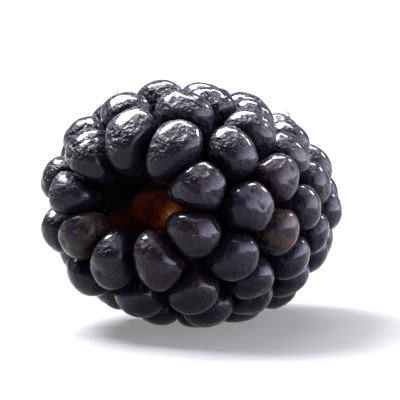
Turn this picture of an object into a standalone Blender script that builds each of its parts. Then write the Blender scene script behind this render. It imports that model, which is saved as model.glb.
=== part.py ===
"""A bramble berry, as picked, lying on its side on a table.

The fruit is one solid: a cluster of small juicy domes, the drupelets, grown together round a fleshy
core. The stem came away cleanly, so the scarred end of the core shows in a small recess at the broad
stem end, framed by a ring of drupelets.

Everything is worked out in the berry's own frame first, with its axis along +Z and the stem end up.
It is then rolled, pitched and set down on the drupelets that it rests on: in the finished part the
stem end faces -Y, the tip faces +Y, and the origin is at the bottom centre of the part's box.
"""

import math
import random

import bpy
import numpy as np
from mathutils import Matrix, Vector

MM = 0.001

# The bed is the smooth surface on which the drupelets' middles sit.
bed_radius = 8.1 * MM  # at mid length
bed_half_length = 11.8 * MM
bed_fullness = 2.5  # 2 is an ellipse, and more is blunter
bed_taper = 0.13  # how much wider the stem end is than the tip
bed_breadth = 1.09  # the berry lies on its flatter side
bed_depth = 0.93

spacing = 4.15 * MM  # between neighbouring drupelets' middles
basal_row_radius = 5.2 * MM  # the row of drupelets round the recess
basal_count = 9
basal_phase_degrees = 19.0
row_pitch = 0.875  # between rows, as a share of spacing
basal_size = 0.95  # as a share of the size at mid length
tip_shrink = 0.10
unevenness = 0.07
layout_seed = 212

drupelet_half_width = 0.60  # as a share of the room that its neighbours leave it
drupelet_half_height = 0.64
basal_stretch = 1.03  # the drupelets round the recess are drawn out towards it
recess_reach = 0.20  # and those above and below it by this much more
drupelet_sides = 12
drupelet_bands = 8

flesh_above_bed = 0.5 * MM  # the flesh that joins the drupelets, between their domes
flesh_sides = 36

core_end_height = 7.7 * MM  # along the berry's axis, in the recess
core_end_radius = 2.1 * MM
core_scar_depth = 0.35 * MM  # the dish that the stem left
recess_floor_height = 6.7 * MM  # the groove between the core's end and the drupelets
recess_shoulder_radius = 4.0 * MM

roll_degrees = -1.06  # about the berry's axis
pitch_degrees = 7.82  # how far the stem end is lifted
contact_flat = 0.25 * MM  # how much the resting drupelets are pressed flat

skin_colour = (0.012, 0.009, 0.020, 1.0)


def bed_profile(steps=600):
    """Points (radius, height) along the bed from the basal row's height to the tip, finely spaced."""
    angle = np.linspace(0.0, math.pi, steps)
    power = 2.0 / bed_fullness
    height = bed_half_length * np.sign(np.cos(angle)) * np.abs(np.cos(angle)) ** power
    radius = bed_radius * np.sin(angle) ** power * (1 + bed_taper * height / bed_half_length)
    first = int(np.argmax(radius >= basal_row_radius))
    return radius[first:], height[first:]


def facing_out(radius, height):
    """The directions out of a profile that runs from its top to its bottom."""
    slope_out, slope_up = np.gradient(radius), np.gradient(height)
    length = np.hypot(slope_out, slope_up)
    return -slope_up / length, slope_out / length


def unit(directions):
    return directions / np.linalg.norm(directions, axis=1)[:, None]


def onto_bed(places, radius, height):
    """The nearest places on the bed, and the directions out of it there."""
    across = np.hypot(places[:, 0], places[:, 1])
    turn = np.arctan2(places[:, 1], places[:, 0])
    gap = (across[:, None] - radius) ** 2 + (places[:, 2:] - height) ** 2
    nearest = np.argmin(gap, axis=1)
    out, up = facing_out(radius, height)
    placed = (radius[nearest] * np.cos(turn), radius[nearest] * np.sin(turn), height[nearest])
    outward = (out[nearest] * np.cos(turn), out[nearest] * np.sin(turn), up[nearest])
    return np.stack(placed, axis=1), np.stack(outward, axis=1)


def first_seats(radius, height):
    """Rows of seats round the bed, each turned half a step against the last, and a little uneven."""
    uneven = random.Random(layout_seed)
    steps = np.hypot(np.diff(radius), np.diff(height))
    along = np.concatenate([[0.0], np.cumsum(steps)])
    rows = round(along[-1] / (row_pitch * spacing)) + 1
    places, sizes = [], []
    for row in range(rows):
        share = row / (rows - 1)
        row_radius = np.interp(share * along[-1], along, radius)
        row_height = np.interp(share * along[-1], along, height)
        fitting = math.ceil(2 * math.pi * row_radius / spacing - 0.35)
        count = max(1, fitting) if row else basal_count
        for number in range(count):
            turn = math.radians(basal_phase_degrees) + 2 * math.pi * (number + 0.5 * (row % 2)) / count
            turn += uneven.uniform(-0.09, 0.09) * spacing / max(row_radius, spacing)
            lift = uneven.uniform(-unevenness, unevenness) * spacing
            places.append((row_radius * math.cos(turn), row_radius * math.sin(turn), row_height + lift))
            base_size = (1.0 if row else basal_size) - tip_shrink * share**3
            sizes.append(base_size + uneven.uniform(-unevenness, unevenness))
    return np.array(places), np.array(sizes)


def seats():
    """Where the drupelets sit in the berry's frame, and their half-axes as columns, uphill one first.

    From their first seats they push each other apart along the bed until they are evenly packed.
    Each is then as big as its room, the mean distance to its five nearest neighbours, lets it be.
    """
    radius, height = bed_profile()
    places, sizes = first_seats(radius, height)
    wanted = spacing * (sizes[:, None] + sizes) / 2
    for _ in range(60):
        offset = places[:, None] - places
        distance = np.linalg.norm(offset, axis=2) + np.eye(len(places))
        push = np.clip(wanted - distance, 0.0, None) * (1 - np.eye(len(places)))
        places = places + 0.25 * (offset / distance[:, :, None] * push[:, :, None]).sum(axis=1)
        places, outward = onto_bed(places, radius, height)
    squash = np.array([bed_breadth, bed_depth, 1.0])
    places, outward = places * squash, unit(outward / squash)
    sideways = unit(np.cross(outward, (0.0, 0.0, 1.0)) + (0.0, 1e-6, 0.0))
    uphill = np.cross(sideways, outward)
    distance = np.sort(np.linalg.norm(places[:, None] - places, axis=2), axis=1)
    room = distance[:, 1:6].mean(axis=1)[:, None]
    width, height = drupelet_half_width * room, drupelet_half_height * room
    above = np.sin(np.arctan2(places[:, 1], places[:, 0])) ** 2
    basal = basal_stretch + recess_reach * above
    stretch = np.where(np.arange(len(places)) < basal_count, basal, 1.0)[:, None]
    return places, np.stack([uphill * width * stretch, sideways * width, outward * height], axis=2)


def resting_turn():
    """The rotation from the berry's frame to the table's: the stem end to -Y, lifted a little."""
    roll = Matrix.Rotation(math.radians(roll_degrees), 4, "Z")
    lay = Matrix.Rotation(math.radians(90 - pitch_degrees), 4, "X")
    return lay @ roll


def resting_place(places, half_axes):
    """The rotation and shift that set the berry down with its box's bottom centre at the origin."""
    turn = np.array(resting_turn().to_3x3())
    middles = places @ turn.T
    reach = np.linalg.norm(turn @ half_axes, axis=2)
    low, high = (middles - reach).min(axis=0), (middles + reach).max(axis=0)
    shift = Vector((-(low[0] + high[0]) / 2, -(low[1] + high[1]) / 2, -low[2] - contact_flat))
    return Matrix.Translation(shift) @ resting_turn()


def clear_scene():
    for thing in list(bpy.data.objects):
        bpy.data.objects.remove(thing)


def new_collection(name):
    collection = bpy.data.collections.new(name)
    bpy.context.scene.collection.children.link(collection)
    return collection


def move_to(collection, thing):
    for owner in list(thing.users_collection):
        owner.objects.unlink(thing)
    collection.objects.link(thing)


def hide(thing):
    thing.hide_render = True
    thing.display_type = "WIRE"


def principled(name, colour, roughness):
    material = bpy.data.materials.new(name)
    material.use_nodes = True
    shader = material.node_tree.nodes["Principled BSDF"]
    shader.inputs["Base Color"].default_value = colour
    shader.inputs["Roughness"].default_value = roughness
    shader.inputs["Metallic"].default_value = 0.0
    return material


def baked(thing):
    """Replaces an object's mesh by what its modifiers make of it."""
    graph = bpy.context.evaluated_depsgraph_get()
    mesh = bpy.data.meshes.new_from_object(thing.evaluated_get(graph))
    thing.modifiers.clear()
    thing.data = mesh
    return thing


def flesh_outline():
    """From the middle of the core's scarred end, over its rim, through the groove, to the tip."""
    outline = [
        (0.0, core_end_height - core_scar_depth),
        (0.55 * core_end_radius, core_end_height - 0.6 * core_scar_depth),
        (0.86 * core_end_radius, core_end_height),
        (core_end_radius, core_end_height - 0.3 * MM),
        (core_end_radius + 0.1 * MM, recess_floor_height),
        (core_end_radius + 0.6 * MM, recess_floor_height),
        (recess_shoulder_radius, core_end_height + 0.6 * MM),
    ]
    radius, height = bed_profile(40)
    out, up = facing_out(radius, height)
    radius, height = radius + flesh_above_bed * out, height + flesh_above_bed * up
    outline += [(float(r), float(h)) for r, h in zip(radius, height) if r > 0.3 * MM]
    outline.append((0.0, float(height[-1])))
    return outline


def flesh():
    """The solid under the domes, turned round the axis and squashed like the bed."""
    mesh = bpy.data.meshes.new("flesh")
    points = [(radius, 0.0, height) for radius, height in flesh_outline()]
    mesh.from_pydata(points, [(i, i + 1) for i in range(len(points) - 1)], [])
    solid = bpy.data.objects.new("flesh", mesh)
    bpy.context.scene.collection.objects.link(solid)
    screw = solid.modifiers.new("turn", "SCREW")
    screw.axis = "Z"
    screw.steps = screw.render_steps = flesh_sides
    screw.use_merge_vertices = True
    screw.merge_threshold = 0.00001
    baked(solid).data.transform(Matrix.Diagonal((bed_breadth, bed_depth, 1.0, 1.0)))
    return solid


def dome(number, middle, half_axes):
    """One drupelet: an egg-round body, a little taller than it is wide, standing out of the bed."""
    bpy.ops.mesh.primitive_uv_sphere_add(segments=drupelet_sides, ring_count=drupelet_bands, radius=1.0)
    body = bpy.context.object
    body.name = f"dome_{number:02d}"
    spin = Matrix.Rotation(number * 0.7, 4, "Z")
    body.data.transform(Matrix.Translation(middle) @ Matrix(half_axes.tolist()).to_4x4() @ spin)
    hide(body)
    return body


def grown_together(name, first, others):
    """The Boolean union of a solid with a collection of others, as a plain mesh."""
    union = first.modifiers.new("grown_together", "BOOLEAN")
    union.operation = "UNION"
    union.operand_type = "COLLECTION"
    union.collection = others
    union.solver = "EXACT"
    first.name = name
    return baked(first)


def table_cutter():
    """A slab under the table's surface, which presses the lowest drupelets flat."""
    side = 60 * MM
    bpy.ops.mesh.primitive_cube_add(size=side)
    slab = bpy.context.object
    slab.name = "table_cutter"
    slab.data.transform(Matrix.Translation((0.0, 0.0, -side / 2)))
    hide(slab)
    return slab


def pressed_flat(solid, cutter):
    difference = solid.modifiers.new("pressed_flat", "BOOLEAN")
    difference.operation = "DIFFERENCE"
    difference.object = cutter
    difference.solver = "EXACT"
    return baked(solid)


def main():
    clear_scene()
    parts = new_collection("bramble_berry")
    domes = new_collection("domes")
    cutters = new_collection("cutters")
    places, half_axes = seats()
    for number, place in enumerate(places):
        move_to(domes, dome(number, place, half_axes[number]))
    berry = grown_together("berry", flesh(), domes)
    move_to(parts, berry)
    berry.data.transform(resting_place(places, half_axes))
    slab = table_cutter()
    move_to(cutters, slab)
    pressed_flat(berry, slab)
    berry.data.materials.clear()
    berry.data.materials.append(principled("drupelet_skin", skin_colour, 0.3))
    berry.data.shade_smooth()
    berry.data.set_sharp_from_angle(angle=math.radians(50))
    for body in list(domes.objects):
        bpy.data.objects.remove(body)


main()
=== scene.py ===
# A ripe bramble berry, as picked, lying on its side on a plain pale table.
# The drupelets are worked out one by one where the frame's domes stand, then finished in detail.

import math
import random

import bpy
import numpy as np
from mathutils import Matrix, Vector


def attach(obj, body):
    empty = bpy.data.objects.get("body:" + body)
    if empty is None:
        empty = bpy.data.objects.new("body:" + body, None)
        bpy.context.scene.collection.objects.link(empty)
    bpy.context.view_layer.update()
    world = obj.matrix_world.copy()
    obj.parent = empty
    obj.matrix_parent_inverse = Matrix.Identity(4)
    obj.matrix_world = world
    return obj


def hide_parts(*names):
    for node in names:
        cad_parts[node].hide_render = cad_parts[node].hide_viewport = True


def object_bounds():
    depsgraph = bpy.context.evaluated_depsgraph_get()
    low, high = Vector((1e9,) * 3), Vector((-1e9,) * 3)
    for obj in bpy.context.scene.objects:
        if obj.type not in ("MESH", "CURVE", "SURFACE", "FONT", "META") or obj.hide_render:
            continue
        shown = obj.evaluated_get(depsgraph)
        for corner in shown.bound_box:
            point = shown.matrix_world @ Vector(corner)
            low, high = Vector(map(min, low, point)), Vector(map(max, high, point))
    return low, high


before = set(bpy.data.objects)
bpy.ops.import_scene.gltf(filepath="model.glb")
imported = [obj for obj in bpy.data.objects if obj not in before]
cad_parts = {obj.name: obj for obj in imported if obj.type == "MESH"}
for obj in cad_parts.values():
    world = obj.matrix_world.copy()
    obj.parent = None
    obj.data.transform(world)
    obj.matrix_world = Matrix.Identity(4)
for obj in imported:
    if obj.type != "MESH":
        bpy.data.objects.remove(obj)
cadLow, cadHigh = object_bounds()
mm = 0.001

# The same layout as the frame's solid: seats on a smooth bed, pushed apart until they are even.
layout = {
    "bedRadius": 8.1 * mm,  # at mid length
    "bedHalfLength": 11.8 * mm,
    "bedFullness": 2.5,  # 2 is an ellipse, and more is blunter
    "bedTaper": 0.13,  # how much wider the stem end is than the tip
    "bedBreadth": 1.09,  # the berry lies on its flatter side
    "bedDepth": 0.93,
    "spacing": 4.15 * mm,  # between neighbouring drupelets' middles
    "basalRowRadius": 5.2 * mm,  # the row of drupelets round the recess
    "basalCount": 9,
    "basalPhase": 19.0,  # degrees
    "rowPitch": 0.875,  # between rows, of spacing
    "squeezeIn": 0.35,  # a row holds one more when more than this share of a seat is left over
    "basalSize": 0.95,
    "tipShrink": 0.10,
    "unevenness": 0.07,  # of spacing, and of size
    "turnSlack": 0.09,  # of spacing
    "seed": 212,
    "rounds": 60,  # of pushing apart
    "push": 0.25,  # of the overlap, in each round
    "neighbours": 5,  # whose mean distance is the room of a drupelet
    "halfWidth": 0.60,  # of the room
    "halfHeight": 0.64,
    "basalStretch": 1.03,  # the drupelets round the recess are drawn out towards it
    "recessReach": 0.20,  # and those above and below it by this much more
    "roll": -1.06,  # degrees
    "pitch": 7.82,  # degrees, how far the stem end is lifted
    "contactFlat": 0.25 * mm,  # how much the resting drupelets are pressed flat
    "softness": 0.03 * mm,  # of the edge of those flats
}


def bedProfile(steps=600):
    # radius = R sin(a)^(2/n) (1 + taper h/H), height = H cos(a)^(2/n), from the basal row to the tip
    angle = np.linspace(0.0, math.pi, steps)
    power = 2.0 / layout["bedFullness"]
    share = np.sign(np.cos(angle)) * np.abs(np.cos(angle)) ** power
    height = layout["bedHalfLength"] * share
    radius = layout["bedRadius"] * np.sin(angle) ** power * (1 + layout["bedTaper"] * share)
    first = int(np.argmax(radius >= layout["basalRowRadius"]))
    return radius[first:], height[first:]


def facingOut(radius, height):
    # the profile's outward normal, (-dh, dr) / |(dr, dh)|
    slopeOut, slopeUp = np.gradient(radius), np.gradient(height)
    length = np.hypot(slopeOut, slopeUp)
    return -slopeUp / length, slopeOut / length


def unit(directions):
    # d / |d|
    return directions / np.linalg.norm(directions, axis=-1, keepdims=True)


def ontoBed(places, radius, height):
    # each place moved, at its own turn about the axis, to the nearest point of the profile
    across = np.hypot(places[:, 0], places[:, 1])
    turn = np.arctan2(places[:, 1], places[:, 0])
    gap = (across[:, None] - radius) ** 2 + (places[:, 2:] - height) ** 2
    nearest = np.argmin(gap, axis=1)
    out, up = facingOut(radius, height)
    placed = (radius[nearest] * np.cos(turn), radius[nearest] * np.sin(turn), height[nearest])
    outward = (out[nearest] * np.cos(turn), out[nearest] * np.sin(turn), up[nearest])
    return np.stack(placed, axis=1), np.stack(outward, axis=1)


def firstSeats(radius, height):
    # rows a set distance apart along the profile, each with as many seats as fit round it at even turns,
    # offset by half a seat from the row before
    uneven = random.Random(layout["seed"])
    spacing, slack, turnSlack = layout["spacing"], layout["unevenness"], layout["turnSlack"]
    along = np.concatenate([[0.0], np.cumsum(np.hypot(np.diff(radius), np.diff(height)))])
    rows = round(along[-1] / (layout["rowPitch"] * spacing)) + 1
    places, sizes, rowOf = [], [], []
    for row in range(rows):
        share = row / (rows - 1)
        rowRadius = np.interp(share * along[-1], along, radius)
        rowHeight = np.interp(share * along[-1], along, height)
        fitting = math.ceil(2 * math.pi * rowRadius / spacing - layout["squeezeIn"])
        count = max(1, fitting) if row else layout["basalCount"]
        for number in range(count):
            turn = math.radians(layout["basalPhase"]) + 2 * math.pi * (number + 0.5 * (row % 2)) / count
            turn += uneven.uniform(-turnSlack, turnSlack) * spacing / max(rowRadius, spacing)
            lift = uneven.uniform(-slack, slack) * spacing
            places.append((rowRadius * math.cos(turn), rowRadius * math.sin(turn), rowHeight + lift))
            baseSize = (1.0 if row else layout["basalSize"]) - layout["tipShrink"] * share**3
            sizes.append(baseSize + uneven.uniform(-slack, slack))
            rowOf.append(row)
    return np.array(places), np.array(sizes), np.array(rowOf)


def seats():
    # middles, directions (uphill, sideways, outward as columns), half-axes and rows. Seats closer than
    # the spacing push each other apart by a share of the overlap, round after round
    radius, height = bedProfile()
    places, sizes, rowOf = firstSeats(radius, height)
    wanted = layout["spacing"] * (sizes[:, None] + sizes) / 2
    for _ in range(layout["rounds"]):
        offset = places[:, None] - places
        distance = np.linalg.norm(offset, axis=2) + np.eye(len(places))
        push = np.clip(wanted - distance, 0.0, None) * (1 - np.eye(len(places)))
        moved = (offset / distance[:, :, None] * push[:, :, None]).sum(axis=1)
        places, outward = ontoBed(places + layout["push"] * moved, radius, height)
    squash = np.array([layout["bedBreadth"], layout["bedDepth"], 1.0])
    places, outward = places * squash, unit(outward / squash)
    sideways = unit(np.cross(outward, (0.0, 0.0, 1.0)) + (0.0, 1e-6, 0.0))
    uphill = np.cross(sideways, outward)
    distance = np.sort(np.linalg.norm(places[:, None] - places, axis=2), axis=1)
    room = distance[:, 1 : layout["neighbours"] + 1].mean(axis=1)
    width, tall = layout["halfWidth"] * room, layout["halfHeight"] * room
    above = np.sin(np.arctan2(places[:, 1], places[:, 0])) ** 2
    basal = layout["basalStretch"] + layout["recessReach"] * above
    stretched = np.where(rowOf == 0, basal, 1.0) * width
    facings = np.stack([uphill, sideways, outward], axis=2)
    halfAxes = np.stack([stretched, width, tall], axis=1)
    return places, facings, halfAxes, rowOf


def restingPlace(places, facings, halfAxes):
    # the turn and the shift that lay the berry down with its stem end to -Y, lifted by the pitch
    roll, lay = math.radians(layout["roll"]), math.radians(90 - layout["pitch"])
    turn = np.array(Matrix.Rotation(lay, 3, "X") @ Matrix.Rotation(roll, 3, "Z"))
    middles = places @ turn.T
    reach = np.linalg.norm((turn @ facings) * halfAxes[:, None, :], axis=2)
    low, high = (middles - reach).min(axis=0), (middles + reach).max(axis=0)
    shift = -(low + high) / 2
    shift[2] = -low[2] - layout["contactFlat"]
    return turn, shift


def setDown(points, turn, shift):
    # turned and shifted, then pressed on the table: z becomes (z + sqrt(z^2 + softness^2)) / 2
    laid = points @ turn.T + shift
    laid[..., 2] = (laid[..., 2] + np.hypot(laid[..., 2], layout["softness"])) / 2
    return laid


# Meshes from grids of points.


def makeMesh(name, points, corners, starts, attributes=None):
    # corners lists the points of one face after another, and starts says where each face begins in it
    mesh = bpy.data.meshes.new(name)
    mesh.vertices.add(len(points))
    mesh.vertices.foreach_set("co", np.asarray(points, np.float32).ravel())
    mesh.loops.add(len(corners))
    mesh.loops.foreach_set("vertex_index", np.asarray(corners, np.int32))
    mesh.polygons.add(len(starts))
    mesh.polygons.foreach_set("loop_start", np.asarray(starts, np.int32))
    mesh.update(calc_edges=True)
    mesh.shade_smooth()
    for title, values in (attributes or {}).items():
        layer = mesh.attributes.new(title, "FLOAT", "POINT")
        layer.data.foreach_set("value", np.asarray(values, np.float32))
    piece = bpy.data.objects.new(name, mesh)
    bpy.context.scene.collection.objects.link(piece)
    return piece


def capsuleFaces(rings, around):
    # corners and starts for rings of points between a first and a last pole, wound to face outwards
    first = 1 + np.arange(rings - 1)[:, None] * around
    here, beside = np.arange(around)[None, :], (np.arange(around)[None, :] + 1) % around
    below = first + around
    quads = np.stack([first + here, below + here, below + beside, first + beside], axis=2)
    here, beside = here[0], beside[0]
    last = 1 + rings * around
    topFan = np.stack([np.zeros(around, int), 1 + here, 1 + beside], axis=1)
    bottomRing = 1 + (rings - 1) * around
    bottomFan = np.stack([np.full(around, last), bottomRing + beside, bottomRing + here], axis=1)
    return quads.reshape(-1, 4), np.concatenate([topFan, bottomFan])


def closedPiece(name, bodies, rings, around, attributes=None):
    # bodies is an array (count, 2 + rings * around, 3) of capsules that share one mesh
    quads, fans = capsuleFaces(rings, around)
    count, size = bodies.shape[:2]
    step = np.arange(count)[:, None, None] * size
    quads = (quads[None] + step).reshape(-1, 4)
    fans = (fans[None] + step).reshape(-1, 3)
    corners = np.concatenate([quads.ravel(), fans.ravel()])
    starts = np.concatenate([np.arange(len(quads)) * 4, len(quads) * 4 + np.arange(len(fans)) * 3])
    flat = {title: values.ravel() for title, values in (attributes or {}).items()}
    return makeMesh(name, bodies.reshape(-1, 3), corners, starts, flat)


# Shader maths as Python expressions.


class Wire:
    # wraps a socket, so that an expression on it adds its Math nodes
    def __init__(self, paint, socket):
        self.paint, self.socket = paint, socket

    def maths(self, operation, first, second):
        return self.paint.node("ShaderNodeMath", {"operation": operation}, {0: first, 1: second})

    def __add__(self, other):
        return self.maths("ADD", self, other)

    def __radd__(self, other):
        return self.maths("ADD", other, self)

    def __sub__(self, other):
        return self.maths("SUBTRACT", self, other)

    def __rsub__(self, other):
        return self.maths("SUBTRACT", other, self)

    def __mul__(self, other):
        return self.maths("MULTIPLY", self, other)

    def __rmul__(self, other):
        return self.maths("MULTIPLY", other, self)

    def __abs__(self):
        return self.maths("ABSOLUTE", self, 0.0)


class Paint:
    # a material or a world whose nodes are added by one method
    def __init__(self, block):
        self.block = block
        self.block.use_nodes = True
        self.tree = self.block.node_tree
        self.tree.nodes.clear()

    def node(self, kind, settings, inputs, output=0):
        made = self.tree.nodes.new(kind)
        for title, value in settings.items():
            if title == "stops":
                self.setStops(made.color_ramp, value)
            else:
                setattr(made, title, value)
        for title, value in inputs.items():
            if isinstance(value, Wire):
                self.tree.links.new(value.socket, made.inputs[title])
            else:
                made.inputs[title].default_value = value
        return Wire(self, made.outputs[output]) if made.outputs else None

    def setStops(self, ramp, stops):
        while len(ramp.elements) < len(stops):
            ramp.elements.new(1.0)
        for element, (position, shade) in zip(ramp.elements, stops):
            element.position = position
            element.color = (shade, shade, shade, 1.0)

    def places(self):
        return self.node("ShaderNodeTexCoord", {}, {}, "Object")

    def noise(self, size, detail=2.0, roughness=0.5):
        inputs = {"Vector": self.places(), "Scale": 1 / size, "Detail": detail, "Roughness": roughness}
        return self.node("ShaderNodeTexNoise", {}, inputs, 0)

    def folds(self, size, detail=1.0):
        # 1 - |2 n - 1| of a noise n: rounded swellings between sharp folds, turned over
        return 1 - abs(2 * self.noise(size, detail) - 1)

    def cover(self, size, detail, roughness, low, high):
        # 0 to 1 over the surface, as a noise passes from low to high
        return self.ramp(self.noise(size, detail, roughness), low, high)

    def ramp(self, value, low, high):
        return self.node("ShaderNodeValToRGB", {"stops": [(low, 0.0), (high, 1.0)]}, {"Fac": value})

    def attribute(self, title):
        return self.node("ShaderNodeAttribute", {"attribute_name": title}, {}, "Fac")

    def mix(self, amount, first, second):
        return self.node("ShaderNodeMix", {"data_type": "RGBA"}, {0: amount, 6: first, 7: second}, 2)

    def bump(self, height, distance, strength, below=None):
        inputs = {"Height": height, "Distance": distance, "Strength": strength}
        if below:
            inputs["Normal"] = below
        return self.node("ShaderNodeBump", {}, inputs)

    def finish(self, inputs):
        surface = self.node("ShaderNodeBsdfPrincipled", {}, inputs)
        self.node("ShaderNodeOutputMaterial", {}, {"Surface": surface})
        return self.block


# The drupelets.

drupelet = {
    "rings": 44,
    "around": 64,
    "crowding": 1.25,  # of the rings towards the tip
    "middleRows": (3, 5),  # the first row of the middle piece, and of the piece after it
    "fullness": (1.02, 1.05, 1.0),  # of the frame's domes, before the neighbours press on it
    "sizes": (0.95, 1.04),  # the smallest and the largest, of that
    "basalFit": 0.95,  # of that, in the ring round the recess
    "lowerFit": 0.14,  # taken off it right below the recess
    "squareness": 6.5,  # how sharply a side pressed on a neighbour turns into the round top
    "crease": 0.32 * mm,  # the gap left between two neighbours
    "creaseStart": 0.64,  # of the way to the plane shared with a neighbour, where the skin turns dull
    "lumpWaves": (5, 2.3),  # how many, and how closely they follow each other
    "lumps": 0.018,  # of the radius
    "wrinkleWaves": (3, 3.2),
    "wrinkles": 0.080,  # of the radius
    "wrinkleLevel": 0.75,  # the height of the folds that leaves the size as it is
    "waver": 0.5,  # how much the lumps bend the wrinkles
    "shrivelled": (0.0, 0.5),  # of the wrinkles, on the lowest drupelets
    "sunken": 0.9,  # of the wrinkles, added towards the top
    "tipLean": 0.22,  # how far the tip of a drupelet can lie from its middle, of the radius
    "dimples": (0.5, 1.0),  # the shallowest and the deepest, of the depth
    "dimpleWidth": 0.15,  # radians round the tip
    "dimpleDepth": 0.10 * mm,
    "nubWidth": 0.055,  # radians
    "nubHeight": 0.07 * mm,
    "scarWidth": 0.75,  # of the dimple's
    "seed": 5,
    "toneSeed": 14721,  # which drupelets are reddish or brown
    "wineTones": (0.70, 1.0),
    "driedTones": (0.05, 0.09),
    "black": (0.0023, 0.0019, 0.0057, 1.0),
    "wine": (0.0085, 0.0022, 0.0036, 1.0),
    "dried": (0.075, 0.040, 0.017, 1.0),
    "bloom": (0.0215, 0.0195, 0.037, 1.0),
    "scar": (0.050, 0.023, 0.012, 1.0),
    "shares": {"wine": 0.8, "bloom": 0.35, "dried": 0.5, "scar": 0.8},  # of a colour, at most
    "clouds": (2.6 * mm, 3.0, 0.5, 0.42, 0.68),  # size, detail and roughness, then from bare to covered
    "dust": (0.35 * mm, 5.0, 0.65, 0.35, 0.75),
    "dusty": 0.65,  # how much of the bloom is broken up by dust
    "stains": (0.7 * mm, 4.0, 0.65, 0.44, 0.60),
    "folds": (0.9 * mm, 3.0, 0.80 * mm),  # size, detail and depth
    "leastFolds": 0.10,  # of the depth, on the smoothest drupelet
    "grain": ((0.5 * mm, 2.0, 0.13 * mm, 0.8), (0.10 * mm, 3.0, 0.010 * mm, 0.5)),  # and strength
    "roughness": {"skin": 0.42, "bloom": 0.25, "scar": 0.30, "crease": 0.25},  # the rest add to the skin's
    "gloss": {"skin": 0.95, "bloom": 0.5, "dried": 0.6, "crease": 0.9},  # the rest take away from it
}


def sphereDirections(rings, around, crowding):
    # (sin p cos t, sin p sin t, cos p) for turns t and for angles p = pi s^crowding from pole to pole
    polar = math.pi * (np.arange(1, rings + 1) / (rings + 1)) ** crowding
    turn = 2 * math.pi * np.arange(around) / around
    across = np.sin(polar)[:, None]
    height = np.cos(polar)[:, None] * np.ones(around)
    ring = np.stack([across * np.cos(turn), across * np.sin(turn), height], axis=2)
    return np.concatenate([[[0, 0, 1.0]], ring.reshape(-1, 3), [[0, 0, -1.0]]])


def bell(away, width, power=2):
    # exp(-|away / width|^power), which is 1 in the middle
    return np.exp(-(np.abs(away / width) ** power))


def waves(chance, directions, count, closeness, most):
    # d.w + s for each direction d, with random vectors w and shifts s
    vectors = chance.normal(0.0, closeness, (count, 3))
    return directions @ vectors.T + chance.uniform(0, most, count)


def neighbourPlanes(number, places, size):
    # the neighbours' directions, and how far off the planes between are: the way shared out by size,
    # less half a crease
    offset = np.delete(places - places[number], number, axis=0)
    distance = np.linalg.norm(offset, axis=1)
    share = size[number] / (size[number] + np.delete(size, number))
    near = distance < 2 * layout["spacing"]
    return (offset / distance[:, None])[near], (distance * share)[near] - drupelet["crease"] / 2


def wrinkling(chance, directions, amount):
    # the share of the radius added by sine waves across the directions, and by the folds |sin| of others
    lumpy = np.sin(waves(chance, directions, *drupelet["lumpWaves"], 2 * math.pi)).sum(axis=1)
    folds = waves(chance, directions, *drupelet["wrinkleWaves"], math.pi)
    folded = np.abs(np.sin(folds + drupelet["waver"] * lumpy[:, None])).mean(axis=1)
    return drupelet["lumps"] * lumpy + amount * (np.sqrt(folded) - drupelet["wrinkleLevel"])


def fromTip(chance, directions):
    # each direction's angle from a tip that leans a little, arccos(d.tip)
    lean = chance.uniform(0.0, drupelet["tipLean"])
    spin = chance.uniform(0, 2 * math.pi)
    tip = unit(np.array([math.cos(spin) * lean, math.sin(spin) * lean, 1.0]))
    return np.arccos(np.clip(directions @ tip, -1.0, 1.0))


def drupeletBodies(places, facings, halfAxes, rowOf, wrinkled):
    # distance from the middle, in direction d: (|d / halfAxes|^p + sum (d.n / h)^p)^(-1/p), where n and
    # h are the directions and distances of the planes shared with the neighbours. Then it is wrinkled,
    # and two bells round the tip add a dimple with a nub in it
    chance = np.random.default_rng(drupelet["seed"])
    directions = sphereDirections(drupelet["rings"], drupelet["around"], drupelet["crowding"])
    power, scarWidth = drupelet["squareness"], drupelet["scarWidth"] * drupelet["dimpleWidth"]
    below = np.clip(-unit(places[:, :2])[:, 1], 0, 1) ** 2  # 1 right below the berry's axis
    fits = np.where(rowOf == 0, drupelet["basalFit"] - drupelet["lowerFit"] * below, 1.0)
    bodies, creases, scars, tips = [], [], [], []
    for number, middle in enumerate(places):
        world = directions @ facings[number].T
        normals, planes = neighbourPlanes(number, places, halfAxes[:, 1])
        towards = np.clip(world @ normals.T, 0.0, None) / planes
        fullness = np.array(drupelet["fullness"]) * chance.uniform(*drupelet["sizes"]) * fits[number]
        egg = np.linalg.norm(directions / (halfAxes[number] * fullness), axis=1)
        reach = (egg**power + (towards**power).sum(axis=1)) ** (-1 / power)
        reach = reach * (1 + wrinkling(chance, directions, drupelet["wrinkles"] * wrinkled[number]))
        away = fromTip(chance, directions)
        depth = chance.uniform(*drupelet["dimples"])
        nub = drupelet["nubHeight"] * bell(away, drupelet["nubWidth"])
        reach = reach + depth * (nub - drupelet["dimpleDepth"] * bell(away, drupelet["dimpleWidth"]))
        pressed = (reach[:, None] * towards).max(axis=1)
        bodies.append(middle + reach[:, None] * world)
        creases.append(np.clip(1 - (1 - pressed) / (1 - drupelet["creaseStart"]), 0, 1))
        scars.append(depth * bell(away, scarWidth, 4))
        tips.append(bodies[-1][np.argmin(away)])
    return np.array(bodies), np.array(creases), np.array(scars), np.array(tips)


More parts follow.
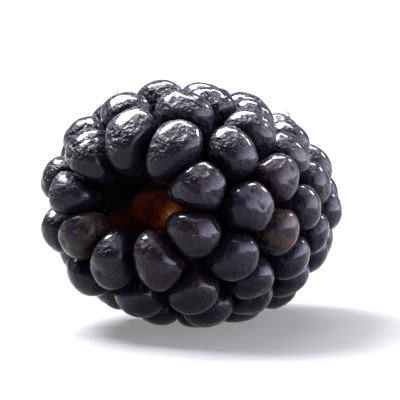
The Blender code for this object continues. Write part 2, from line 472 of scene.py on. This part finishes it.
def skinMaterial():
    # black or wine by tone, clouded with bloom, brown where a drupelet has dried and at the style's scar
    paint = Paint(bpy.data.materials.new("drupelet_skin"))
    names = ("tone", "scar", "wrinkled", "crease")
    tone, scar, wrinkled, crease = (paint.attribute(name) for name in names)
    dusty, shares = drupelet["dusty"], drupelet["shares"]
    bloom = paint.cover(*drupelet["clouds"]) * ((1 - dusty) + dusty * paint.cover(*drupelet["dust"]))
    dried = (1 - paint.ramp(tone, *drupelet["driedTones"])) * paint.cover(*drupelet["stains"])
    red = paint.ramp(tone, *drupelet["wineTones"])
    colour = paint.mix(red * shares["wine"], drupelet["black"], drupelet["wine"])
    colour = paint.mix(bloom * shares["bloom"], colour, drupelet["bloom"])
    colour = paint.mix(dried * shares["dried"], colour, drupelet["dried"])
    colour = paint.mix(scar * shares["scar"], colour, drupelet["scar"])
    size, detail, depth = drupelet["folds"]
    least = drupelet["leastFolds"]
    normal = paint.bump(paint.folds(size, detail), depth, least + (1 - least) * wrinkled)
    for size, detail, depth, strength in drupelet["grain"]:
        normal = paint.bump(paint.noise(size, detail), depth, strength, normal)
    rough, gloss = drupelet["roughness"], drupelet["gloss"]
    roughness = rough["skin"] + bloom * rough["bloom"] + scar * rough["scar"] + crease * rough["crease"]
    coat = (1 - scar) * (gloss["skin"] - bloom * gloss["bloom"])
    coat = coat * (1 - gloss["dried"] * dried) * (1 - gloss["crease"] * crease)
    return paint.finish(
        {
            "Base Color": colour,
            "Roughness": roughness,
            "Coat Weight": coat,
            "Coat Roughness": 0.13,
            "Coat IOR": 1.33,
            "IOR": 1.18,
            "Specular Tint": (0.86, 0.82, 1.0, 1.0),
            "Normal": normal,
        }
    )


def makeDrupelets(turn, shift, places, facings, halfAxes, rowOf):
    # three pieces, each a band of rows. The higher a drupelet lies, the more it has shrivelled: low to
    # high is 0 to 1 as h, and the wrinkles' share is a random one + sunken h^2
    chance = np.random.default_rng(drupelet["toneSeed"])
    tones = chance.uniform(0, 1, len(places))
    height = (places @ turn.T)[:, 2]
    upper = np.clip(height / np.ptp(height) + 0.5, 0, 1)
    wrinkled = chance.uniform(*drupelet["shrivelled"], len(places))
    wrinkled = np.clip(wrinkled + drupelet["sunken"] * upper**2, 0, 1)
    bodies, creases, scars, tips = drupeletBodies(places, facings, halfAxes, rowOf, wrinkled)
    bodies = setDown(bodies, turn, shift)
    skin = skinMaterial()
    first, last = drupelet["middleRows"]
    groups = {
        "drupelets_stem_end": rowOf < first,
        "drupelets_middle": (rowOf >= first) & (rowOf < last),
        "drupelets_tip_end": rowOf >= last,
    }
    for name, chosen in groups.items():
        spread = np.ones(bodies[chosen].shape[:2])
        attributes = {
            "tone": tones[chosen, None] * spread,
            "wrinkled": wrinkled[chosen, None] * spread,
            "crease": creases[chosen],
            "scar": scars[chosen],
        }
        piece = closedPiece(name, bodies[chosen], drupelet["rings"], drupelet["around"], attributes)
        piece.data.materials.append(skin)
        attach(piece, "root")
        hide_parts("berry")
    print(f"drupelets: {len(places)} in {len(groups)} pieces")
    return setDown(tips, turn, shift)


# The core, whose scarred end shows in the recess, and the flesh under the drupelets.

core = {
    "endHeight": 7.7 * mm,
    "endRadius": 2.1 * mm,
    "scarDepth": 0.35 * mm,
    "scarSlant": 0.25 * mm,  # how much one side of the rim is lower
    "rimRound": 0.3 * mm,
    "grooveHeight": 6.7 * mm,
    "grooveWidth": 0.6 * mm,
    "grooveRound": 0.1 * mm,
    "shoulderRadius": 4.2 * mm,
    "shoulderRise": 0.6 * mm,
    "footHeight": 5.0 * mm,
    "steps": 9,  # between two points of the outline
    "around": 180,
    "ridgeHeight": 0.10 * mm,
    "ridgeReach": 1.6,  # of the end's radius
    "ridges": ((7, 0.45), (11, 0.35), (23, 0.3), (37, 0.2)),  # how many round the rim, and how strong
    "seed": 21,
    "lightPlace": (0.80, -0.40),  # of the end's radius, where pale fibres are painted as light falling low on one side
    "lightWidth": 0.40,
    # the fringe is painted light round the rim of the end, more on one side
    "fringePlace": 0.85,
    "fringeWidth": 0.22,
    "fringeSide": 0.4,  # how far past the middle it goes on
    "fringeShare": 0.5,
    # painted shade over the edge of the end and its upper side
    "shadeStart": 0.46,
    "shadeSpan": 0.9,
    "shadeSlant": 1.4,  # how much more of it there is on the upper side
    "fibre": (0.25 * mm, 4.0, 0.6),  # size, detail and roughness
    "fibreDepth": 0.10 * mm,
    "patch": (0.9 * mm, 3.0, 0.5),
    "rustRange": (0.36, 0.58),
    "orangeRange": (0.10, 0.45),
    "paleRange": (0.50, 0.85),
    "shadeRange": (0.45, 0.95),
    # pale and orange are the colours of the painted light, as fibres where the light falls
    "pale": (0.62, 0.30, 0.13, 1.0),
    "orange": (0.34, 0.085, 0.012, 1.0),
    "rust": (0.12, 0.015, 0.006, 1.0),
    # shade is both the dark tone between the rust patches and the colour of the painted shade
    "shade": (0.0055, 0.0020, 0.0018, 1.0),
}


def throughPoints(outline, steps):
    # a smooth profile through the outline's points, by Catmull-Rom curves
    knots = np.array([outline[0]] + list(outline) + [outline[-1]])
    share = (np.arange(steps) / steps)[:, None]
    spans = []
    for before, start, end, after in zip(knots, knots[1:], knots[2:], knots[3:]):
        bend = 2 * start + (end - before) * share
        bend = bend + (2 * before - 5 * start + 4 * end - after) * share**2
        spans.append((bend + (3 * start - before - 3 * end + after) * share**3) / 2)
    return np.concatenate(spans + [knots[-1:]])


def turnedBody(profile, around, breadth, depth):
    # (r cos t, r sin t, h) along a profile whose first and last points are on the axis
    turn = 2 * math.pi * np.arange(around) / around
    radius, height = profile[1:-1, 0][:, None], profile[1:-1, 1][:, None]
    ring = np.stack([radius * np.cos(turn), radius * np.sin(turn), height + 0 * turn], axis=2)
    poles = [[[0, 0, profile[0, 1]]], [[0, 0, profile[-1, 1]]]]
    points = np.concatenate([poles[0], ring.reshape(-1, 3), poles[1]])
    return points * (breadth, depth, 1.0)


def coreMaterial():
    # rust in patches on a dark tone, orange and then pale fibres as painted light low on one side and
    # round the rim, and painted shade at the edge and over the upper side
    paint = Paint(bpy.data.materials.new("core_flesh"))
    shaded, torn = paint.attribute("shaded"), paint.attribute("torn")
    fibre, patch = paint.noise(*core["fibre"]), paint.noise(*core["patch"])
    rusty = paint.ramp(patch * 0.5 + fibre * 0.5, *core["rustRange"])
    colour = paint.mix(rusty, core["shade"], core["rust"])
    # painted light: orange, then pale fibres, where the light falls
    colour = paint.mix(paint.ramp(torn * (0.5 + fibre), *core["orangeRange"]), colour, core["orange"])
    colour = paint.mix(paint.ramp(torn * (0.4 + fibre), *core["paleRange"]), colour, core["pale"])
    # painted shade over the edge and the upper side
    colour = paint.mix(paint.ramp(shaded, *core["shadeRange"]), colour, core["shade"])
    normal = paint.bump(fibre, core["fibreDepth"], 0.9)
    finish = {"Base Color": colour, "Roughness": 0.50 + 0.25 * patch, "IOR": 1.12, "Normal": normal}
    return paint.finish(finish)


def coreOutline():
    # radii and heights from the middle of the scarred end, over its rim, through the groove, to the foot
    end, rim, groove = core["endHeight"], core["endRadius"], core["grooveHeight"]
    return [
        (0.0, end - core["scarDepth"]),
        (0.5 * rim, end - 0.65 * core["scarDepth"]),
        (0.84 * rim, end),
        (rim, end - core["rimRound"]),
        (rim + core["grooveRound"], groove + core["grooveRound"]),
        (rim + core["grooveWidth"], groove),
        (core["shoulderRadius"], end + core["shoulderRise"]),
        (core["shoulderRadius"], core["footHeight"]),
        (0.0, core["footHeight"]),
    ]


def coreMarks(aside, above, across):
    # the painted shade grows from the middle and upwards, and the painted light is a bell low on one side
    # or a bell round the rim
    shaded = np.clip((across + core["shadeSlant"] * above - core["shadeStart"]) / core["shadeSpan"], 0, 1)
    lightAside, lightAbove = core["lightPlace"]
    torn = bell(np.hypot(aside - lightAside, above - lightAbove), core["lightWidth"])
    fringe = bell(across - core["fringePlace"], core["fringeWidth"])
    fringe = fringe * np.clip(core["fringeSide"] + aside, 0, 1)
    return shaded, np.maximum(torn, core["fringeShare"] * fringe)


def makeCore(turn, shift):
    # the turned outline, with cosine ridges round the end that grow with the radius, tilted by the slant
    chance = np.random.default_rng(core["seed"])
    profile = throughPoints(coreOutline(), core["steps"])
    body = turnedBody(profile, core["around"], layout["bedBreadth"], layout["bedDepth"])
    aside, above = body[:, 0] / core["endRadius"], body[:, 1] / core["endRadius"]
    across, around = np.hypot(aside, above), np.arctan2(above, aside)
    inside = np.clip(across, 0, 1) * (across < core["ridgeReach"])
    ridges = np.zeros(len(body))
    for count, strength in core["ridges"]:
        ridges += strength * np.cos(count * around + chance.uniform(0, 2 * math.pi))
    body[:, 2] += core["ridgeHeight"] * ridges * inside * (body[:, 2] > core["grooveHeight"])
    body[:, 2] -= core["scarSlant"] * inside * above
    shaded, torn = coreMarks(aside, above, across)
    laid = setDown(body, turn, shift)[None]
    attributes = {"shaded": shaded[None], "torn": torn[None]}
    piece = closedPiece("core_end", laid, len(profile) - 2, core["around"], attributes)
    piece.data.materials.append(coreMaterial())
    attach(piece, "root")
    print("core: its scarred end")


flesh = {
    "steps": 60,
    "around": 96,
    "start": 1.5 * mm,  # below the core's end
    "grain": (0.5 * mm, 3.0),  # size and detail
    "grainDepth": 0.08 * mm,
    # near black, as painted shade deep in the crevices between the drupelets
    "black": (0.0008, 0.0004, 0.0006, 1.0),
    "wine": (0.0020, 0.0007, 0.0009, 1.0),
}


def fleshShadeMaterial():
    # painted shade: the flesh between the drupelets is coloured near black
    paint = Paint(bpy.data.materials.new("inner_flesh"))
    grain = paint.noise(*flesh["grain"])
    colour = paint.mix(grain, flesh["black"], flesh["wine"])
    normal = paint.bump(grain, flesh["grainDepth"], 0.5)
    return paint.finish({"Base Color": colour, "Roughness": 0.7, "IOR": 1.04, "Normal": normal})


def makeFlesh(turn, shift):
    # the bed's own profile, from below the core's end to the tip, turned about the axis
    radius, height = bedProfile(flesh["steps"])
    keep = height < core["endHeight"] - flesh["start"]
    profile = np.stack([radius, height], axis=1)[keep]
    profile = np.concatenate([[(0.0, profile[0, 1])], profile[:-1], [(0.0, profile[-1, 1])]])
    body = turnedBody(profile, flesh["around"], layout["bedBreadth"], layout["bedDepth"])
    laid = setDown(body, turn, shift)[None]
    piece = closedPiece("inner_flesh", laid, len(profile) - 2, flesh["around"])
    piece.data.materials.append(fleshShadeMaterial())
    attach(piece, "root")
    print("flesh: the body under the drupelets")


# The dried styles, a curled hair on the tip of some drupelets.

style = {
    "count": 18,
    "rings": 16,
    "around": 8,
    "thickness": 0.11 * mm,
    "taper": 0.6,  # how much thinner the point is
    "capHeight": 0.02 * mm,
    "lengths": (0.8 * mm, 1.7 * mm),
    "rise": 0.8,  # out of the drupelet, against across it
    "droop": 1.5,
    "bends": (-3.2, 3.2),  # radians from root to point
    "sink": 0.06 * mm,  # how far the root stands in the skin
    "lowestFacing": -0.35,  # none hangs from a drupelet that faces further down
    "lowestTip": 2.5 * mm,
    "seed": 3,
    "mottle": (0.5 * mm, 2.0, 0.5, 0.35, 0.65),  # size, detail and roughness, then from umber to straw
    "straw": (0.090, 0.046, 0.020, 1.0),
    "umber": (0.020, 0.010, 0.006, 1.0),
}


def styleMaterial():
    paint = Paint(bpy.data.materials.new("dried_style"))
    colour = paint.mix(paint.cover(*style["mottle"]), style["umber"], style["straw"])
    return paint.finish({"Base Color": colour, "Roughness": 0.6, "IOR": 1.4})


def styleLines(outward, tips, chance):
    # each hair's direction at t is n (rise - droop t) + u cos(bend t) + v sin(bend t), with n out of the
    # drupelet and u, v across it; its points are the running sum of those steps
    count, rings = style["count"], style["rings"]
    across = unit(np.cross(outward, chance.normal(0, 1, (count, 3))))
    beside = np.cross(outward, across)
    share = np.linspace(0, 1, rings)[None, :, None]
    bend = share * chance.uniform(*style["bends"], count)[:, None, None]
    path = outward[:, None] * (style["rise"] - style["droop"] * share)
    path = unit(path + across[:, None] * np.cos(bend) + beside[:, None] * np.sin(bend))
    stride = chance.uniform(*style["lengths"], count)[:, None, None] / (rings - 1)
    line = (tips - style["sink"] * outward)[:, None] + np.cumsum(path * stride, axis=1)
    first = unit(np.cross(path, outward[:, None] + 0.3 * beside[:, None]))  # never along the path
    return line, path, first, np.cross(path, first)


def makeStyles(tips, facings, turn):
    # a circle of radius T (1 - taper t) / 2 carried along each line, with a blunt cap at both ends
    chance = np.random.default_rng(style["seed"])
    outward = (turn @ facings)[:, :, 2]
    upturned = (outward[:, 2] > style["lowestFacing"]) & (tips[:, 2] > style["lowestTip"])
    chosen = chance.choice(np.flatnonzero(upturned), style["count"], replace=False)
    line, path, first, second = styleLines(outward[chosen], tips[chosen], chance)
    angle = 2 * math.pi * np.arange(style["around"])[:, None] / style["around"]
    ring = first[:, :, None] * np.cos(angle) + second[:, :, None] * np.sin(angle)
    radius = style["thickness"] / 2 * (1 - style["taper"] * np.linspace(0, 1, style["rings"]))
    rounds = (line[:, :, None] + radius[None, :, None, None] * ring).reshape(style["count"], -1, 3)
    cap = style["capHeight"] * path
    bodies = np.concatenate([line[:, :1] - cap[:, :1], rounds, line[:, -1:] + cap[:, -1:]], axis=1)
    piece = closedPiece("dried_styles", bodies, style["rings"], style["around"])
    piece.data.materials.append(styleMaterial())
    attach(piece, "root")
    print(f"styles: {style['count']}")


# Table, light and camera.

tableTop = {
    "radius": 3.0,
    "sides": 96,
    "tone": (0.08, 0.08, 0.08, 1.0),
    "nearGlow": (0.25, 0.25, 0.25, 1.0),  # painted light: the table glows, so that shadows on it stay pale
    "farGlow": (0.80, 0.80, 0.80, 1.0),
    "reach": (0.04, 0.25),  # metres from the berry over which the glow grows
}

studio = {
    "azimuth": 28.0,
    "elevation": 7.0,
    "lens": 300.0,
    "fill": 0.72,  # the berry's share of the picture's width
    "lights": {
        "key": {"from": (-0.55, 0.10, 0.83), "distance": 0.40, "size": (0.20, 0.20), "watts": 13.5},
        "top": {"from": (-0.24, 0.45, 0.86), "distance": 0.80, "size": (0.75, 0.20), "watts": 18.5},
        "overhead": {"from": (0.10, -0.10, 1.0), "distance": 0.80, "size": (1.0, 1.0), "watts": 5.0},
        "rear": {"from": (0.35, 0.80, 0.55), "distance": 0.60, "size": (0.12, 0.12), "watts": 1.5},
    },
    "tint": (0.93, 0.94, 1.0),
    "clip": (0.01, 20.0),  # metres
    "glowFrom": (0.95, 0.25, 0.15),
    "glowSpread": (0.50, 0.95),  # how nearly a direction points there, from dim to glowing
    "glowHeight": (0.15, 0.90),  # how near it is to level
    "horizon": (0.55, 1.0),  # a faint glow all round
    "horizonShare": 0.05,
    "dim": (0.015, 0.015, 0.020, 1.0),
    "glow": (9.1, 8.7, 11.0, 1.0),
}


def makeTable():
    # a flat disc, (R cos t, R sin t, 0), that glows as painted light
    turn = 2 * math.pi * np.arange(tableTop["sides"]) / tableTop["sides"]
    rim = tableTop["radius"] * np.stack([np.cos(turn), np.sin(turn), 0 * turn], axis=1)
    table = makeMesh("table", rim, np.arange(len(rim)), [0])
    paint = Paint(bpy.data.materials.new("table_top"))
    away = paint.node("ShaderNodeVectorMath", {"operation": "LENGTH"}, {0: paint.places()}, "Value")
    glow = paint.mix(paint.ramp(away, *tableTop["reach"]), tableTop["nearGlow"], tableTop["farGlow"])
    finish = {"Base Color": tableTop["tone"], "Roughness": 0.9}
    # painted light: emission that fills the table's shadows
    finish |= {"Emission Color": glow, "Emission Strength": 1.0}
    table.data.materials.append(paint.finish(finish))


def makeLight(name, settings, target):
    data = bpy.data.lights.new(name, "AREA")
    data.shape = "ELLIPSE"
    data.size, data.size_y = settings["size"]
    data.energy = settings["watts"]
    data.color = studio["tint"]
    lamp = bpy.data.objects.new(name, data)
    direction = Vector(settings["from"]).normalized()
    lamp.location = target + direction * settings["distance"]
    lamp.rotation_euler = direction.to_track_quat("Z", "Y").to_euler()
    bpy.context.scene.collection.objects.link(lamp)


def makeWorld():
    # a dim room that grows lighter towards the right and the back, low down
    paint = Paint(bpy.data.worlds.new("studio"))
    looking = paint.places()
    towards = {"operation": "DOT_PRODUCT"}
    right = paint.node("ShaderNodeVectorMath", towards, {0: looking, 1: studio["glowFrom"]}, "Value")
    up = paint.node("ShaderNodeVectorMath", towards, {0: looking, 1: (0.0, 0.0, 1.0)}, "Value")
    low = 1 - abs(up)
    light = paint.ramp(right, *studio["glowSpread"]) * paint.ramp(low, *studio["glowHeight"])
    light = light + studio["horizonShare"] * paint.ramp(low, *studio["horizon"])
    colour = paint.mix(light, studio["dim"], studio["glow"])
    background = paint.node("ShaderNodeBackground", {}, {"Color": colour})
    paint.node("ShaderNodeOutputWorld", {}, {"Surface": background})
    bpy.context.scene.world = paint.block


def makeCamera(low, high):
    azimuth, elevation = math.radians(studio["azimuth"]), math.radians(studio["elevation"])
    back = Vector(
        (
            math.sin(azimuth) * math.cos(elevation),
            -math.cos(azimuth) * math.cos(elevation),
            math.sin(elevation),
        )
    )
    data = bpy.data.cameras.new("camera")
    data.lens = studio["lens"]
    side = high - low
    breadth = math.hypot(side.x * math.cos(azimuth), side.y * math.sin(azimuth))
    distance = breadth / studio["fill"] * data.lens / data.sensor_width
    data.clip_start, data.clip_end = studio["clip"]
    camera = bpy.data.objects.new("camera", data)
    camera.location = (low + high) / 2 + back * distance
    camera.rotation_euler = back.to_track_quat("Z", "Y").to_euler()
    bpy.context.scene.collection.objects.link(camera)
    bpy.context.scene.camera = camera


def main():
    places, facings, halfAxes, rowOf = seats()
    turn, shift = restingPlace(places, facings, halfAxes)
    tips = makeDrupelets(turn, shift, places, facings, halfAxes, rowOf)
    makeStyles(tips, facings, turn)
    makeCore(turn, shift)
    makeFlesh(turn, shift)
    makeTable()
    middle = (cadLow + cadHigh) / 2
    for name, settings in studio["lights"].items():
        makeLight(name, settings, middle)
    makeWorld()
    makeCamera(cadLow, cadHigh)
    bpy.context.scene.view_settings.view_transform = "Standard"
    print("studio: table, lights and camera")


main()
